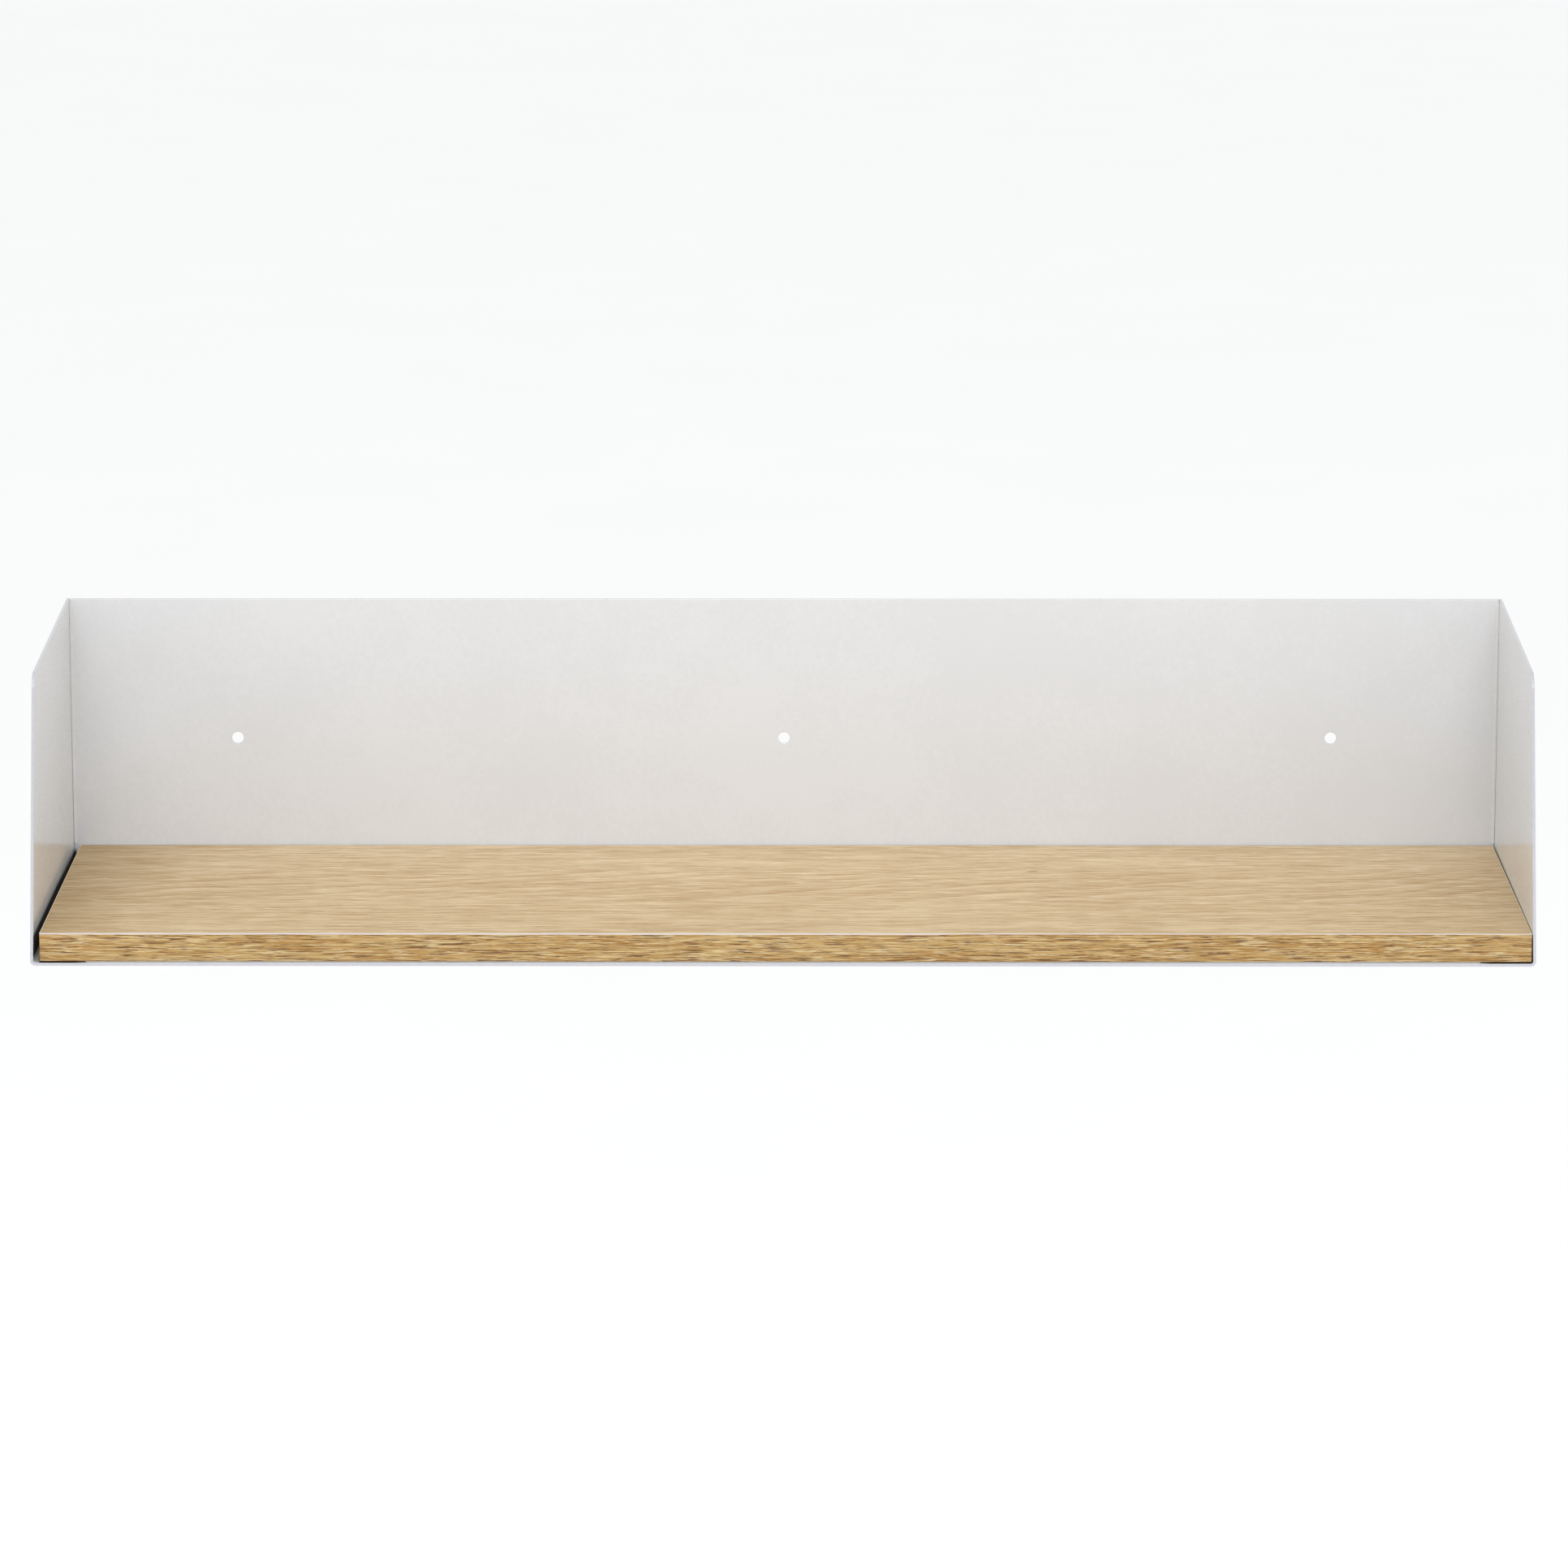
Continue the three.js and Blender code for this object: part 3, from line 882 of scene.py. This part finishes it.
weld_coat, tree, shader, place = new_material("weld_coat", Metallic=0.0, IOR=1.5)
film = use_group(tree, powder_film, Vector=place, Pebble_Size=0.0011, Speck_Size=0.0006)
plug(tree, blend(tree, fade(tree, film["Tone"], 0.4, 0.6), WELD_SHADE, WELD_LIGHT), shader["Base Color"])
plug(tree, fade(tree, film["Height"], 0.3, 0.7, 0.38, 0.52), shader["Roughness"])
plug(tree, add(tree, "Bump", Strength=0.6, Distance=0.00015, Height=film["Height"]), shader["Normal"])
dress(weld_coat, weld_left, weld_right, weld_floor)

# %% [markdown]
# ## Oak foil
#
# The face is a print of light oak under a matt lacquer. A scan of real oak would repeat, so the
# grain group prints it. Short pale and dark dashes cover it, and the growth rings show in a band
# along the middle, with a small knot here and there. Painted shade darkens it a little towards the
# open front, and more at its left end, where it stands for the left cheek's shadow. The lacquer is
# smooth, so the bump is very low.

# %% Colours and sizes of the oak face
OAK_LIGHT = colour(210, 186, 146)
OAK_DARK = colour(186, 158, 115)
OAK_PALE_DASH = colour(224, 205, 172)
OAK_DARK_DASH = colour(156, 116, 62)
OAK_RING_SHADE = colour(172, 138, 86)
OAK_RING_LINE = colour(224, 204, 168)
RING_BAND_MIDDLE = 8 * MM
RING_BAND_HALF = 52 * MM
OAK_KNOT = colour(140, 102, 58)
OAK_PAINTED_SHADE = colour(225, 219, 204)
KNOT_CELLS = 14
KNOT_SIZE = 0.07
KNOT_SHARE = 0.9
FRONT_SHADE_SHARE = 0.55
LEFT_SHADE_REACH = 90 * MM

# %% Printed grain of the face
oak_face, tree, shader, place = new_material("oak_face", Metallic=0.0, IOR=1.45)
grain = use_group(tree, oak_grain, Vector=place, Dash_Length=0.020, Dash_Width=0.0014, Ring_Width=0.016,
                  Ring_Slope=0.28, Wave=0.001)
along = place_along(tree, place, "X")
across = place_along(tree, place, "Y")
ring_band = fade(tree, calc(tree, "ABSOLUTE", calc(tree, "SUBTRACT", across, RING_BAND_MIDDLE)),
                 RING_BAND_HALF, 0.5 * RING_BAND_HALF)
face_colour = blend(tree, grain["Tone"], OAK_DARK, OAK_LIGHT)
face_colour = layer(tree, product(tree, grain["Ring Shade"], ring_band), 0.5, face_colour, OAK_RING_SHADE)
face_colour = layer(tree, product(tree, grain["Ring Line"], ring_band), 0.45, face_colour, OAK_RING_LINE)
face_colour = layer(tree, grain["Pale Dashes"], 0.6, face_colour, OAK_PALE_DASH)
face_colour = layer(tree, grain["Dark Dashes"], 0.5, face_colour, OAK_DARK_DASH)
print("oak_face, printed grain:", len(tree.nodes), "nodes")

# %% Knots and painted shade on the face
knots = tree.nodes.new("ShaderNodeTexVoronoi")
knots.inputs["Scale"].default_value = 1.0
plug(tree, stretched(tree, place, (KNOT_CELLS, 2 * KNOT_CELLS, 0)), knots.inputs["Vector"])
knot_chosen = calc(tree, "GREATER_THAN", add(tree, "SeparateColor", Color=knots.outputs["Color"]), KNOT_SHARE)
knot = product(tree, fade(tree, knots.outputs["Distance"], KNOT_SIZE, 0.4 * KNOT_SIZE), knot_chosen)
face_colour = layer(tree, knot, 0.6, face_colour, OAK_KNOT)
# Painted shade: darker towards the open front, and at the left end where the left cheek's shadow falls.
painted_shade = calc(tree, "MAXIMUM", fade(tree, across, board_rear, board_front, 0.0, FRONT_SHADE_SHARE),
                fade(tree, along, board_left + LEFT_SHADE_REACH, board_left))
plug(tree, blend(tree, painted_shade, face_colour, OAK_PAINTED_SHADE, mode="MULTIPLY"), shader["Base Color"])
plug(tree, fade(tree, grain["Tone"], 0, 1, 0.52, 0.44), shader["Roughness"])
plug(tree, add(tree, "Bump", Strength=0.25, Distance=0.00003, Height=grain["Tone"]), shader["Normal"])
dress(oak_face, top_foil, under_foil)

# %% [markdown]
# ## Oak edging
#
# The edging is a plastic strip with a coarser, more golden print, from the same grain group. A
# thin line is painted along its top arris. The line could be a piece of its own, but it is only
# paint-thin, so it is a mask by height. On the front and rear it is pale, broader in its left part
# and finer in the rest, and on the two ends it is golden. A dark brown is painted along the lower
# arris, as painted shade.

# %% Oak edging
EDGING_LIGHT = colour(166, 137, 84)
EDGING_DARK = colour(146, 106, 44)
EDGING_PALE_DASH = colour(190, 170, 128)
EDGING_DARK_DASH = colour(78, 42, 4)
EDGING_FOOT_SHADE = colour(96, 68, 38)
ARRIS_PALE = colour(196, 192, 190)
ARRIS_GOLD = colour(252, 234, 190)
ARRIS_LINE_HEIGHT = 0.9 * MM
FINE_ARRIS_LINE_HEIGHT = 0.6 * ARRIS_LINE_HEIGHT
ARRIS_LINE_NARROWING = 8 * MM
FOOT_SHADE_HEIGHT = 0.4 * MM


def edging_material(name, turn, arris_colour, broad_until):
    """Printed edging. The line along its top arris is broad up to broad_until along X, and fine from there.
    """
    low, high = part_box("front_edge_band")
    material, tree, shader, place = new_material(name, Metallic=0.0, IOR=1.46)
    grain = use_group(tree, oak_grain, Vector=stretched(tree, place, (1, 1, 1), turn=turn),
                      Dash_Length=0.016, Dash_Width=0.0006, Ring_Width=0.008, Ring_Slope=0.02, Wave=0.0014)
    printed = blend(tree, grain["Tone"], EDGING_DARK, EDGING_LIGHT)
    printed = layer(tree, grain["Pale Dashes"], 0.8, printed, EDGING_PALE_DASH)
    printed = layer(tree, grain["Dark Dashes"], 0.9, printed, EDGING_DARK_DASH)
    up = place_along(tree, place, "Z")
    along = place_along(tree, place, "X")
    height = fade(tree, along, broad_until - ARRIS_LINE_NARROWING, broad_until, ARRIS_LINE_HEIGHT, FINE_ARRIS_LINE_HEIGHT)
    below_top = calc(tree, "DIVIDE", calc(tree, "SUBTRACT", high.z, up), height)
    printed = blend(tree, fade(tree, below_top, 1.0, 0.6, 0.0, 0.85), printed, arris_colour)
    # Painted shade along the lower arris.
    foot = fade(tree, up, low.z + FOOT_SHADE_HEIGHT, low.z + 0.5 * FOOT_SHADE_HEIGHT, 0.0, 0.8)
    plug(tree, blend(tree, foot, printed, EDGING_FOOT_SHADE), shader["Base Color"])
    plug(tree, fade(tree, grain["Tone"], 0, 1, 0.50, 0.42), shader["Roughness"])
    plug(tree, add(tree, "Bump", Strength=0.3, Distance=0.00004, Height=grain["Tone"]), shader["Normal"])
    return material


BROAD_ARRIS_LINE_END = 90 * MM
ALL_BROAD = 2 * tray_high.x
edging_long = edging_material("edging_long", (0, 0, 0), ARRIS_PALE, BROAD_ARRIS_LINE_END)
edging_ends = edging_material("edging_ends", (0, 0, math.pi / 2), ARRIS_GOLD, ALL_BROAD)
dress(edging_long, edging_front, edging_rear)
dress(edging_ends, edging_left, edging_right)

# %% [markdown]
# ## What lies inside
#
# The core of the board is covered on every side, yet it gets the look of pressed chips, because an
# exported model can be taken apart. The chips could be modelled, but nobody would see them, so cells
# of random tone stand for them. The foam tape is white, with fine open cells.

# %% Particle board and foam
CHIP_CELLS = (260, 420, 900)
CHIP_LIGHT = colour(214, 184, 138)
CHIP_DARK = colour(164, 128, 84)
FOAM_CELLS = 2600.0
FOAM_LIGHT = colour(240, 240, 238)
FOAM_DARK = colour(214, 213, 210)

particle_board, tree, shader, place = new_material("particle_board", Metallic=0.0, Roughness=0.85)
chips = tree.nodes.new("ShaderNodeTexVoronoi")
plug(tree, stretched(tree, place, CHIP_CELLS), chips.inputs["Vector"])
chips.inputs["Scale"].default_value = 1.0
chip_tone = add(tree, "SeparateColor", Color=chips.outputs["Color"])
plug(tree, blend(tree, chip_tone, CHIP_DARK, CHIP_LIGHT), shader["Base Color"])
chip_bump = add(tree, "Bump", Strength=0.5, Distance=0.0003, Height=chips.outputs["Distance"])
plug(tree, chip_bump, shader["Normal"])
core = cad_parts["board_core"]
for material_slot in core.material_slots:
    material_slot.material = particle_board
print("particle_board on", core.name)

foam_tape, tree, shader, place = new_material("foam_tape", Metallic=0.0, Roughness=0.9)
foam_cells = add(tree, "TexVoronoi", Vector=place, Scale=FOAM_CELLS)
plug(tree, blend(tree, foam_cells, FOAM_DARK, FOAM_LIGHT), shader["Base Color"])
plug(tree, add(tree, "Bump", Strength=0.6, Distance=0.0001, Height=foam_cells), shader["Normal"])
dress(foam_tape, *strips)

# %% [markdown]
# ## The floor
#
# The floor of the studio is a roll of white paper. Plain white would do, but paper is never quite
# even, so a broad soft noise moves it between two close greys.

# %% Floor finish
PAPER_DARK = (0.93, 0.93, 0.93, 1)
PAPER_LIGHT = (0.95, 0.95, 0.95, 1)

studio_paper, tree, shader, place = new_material("studio_paper", Metallic=0.0, Roughness=0.8)
paper = add(tree, "TexNoise", Vector=place, Scale=3.0, Detail=2.0)
plug(tree, blend(tree, paper, PAPER_DARK, PAPER_LIGHT), shader["Base Color"])
dress(studio_paper, floor)
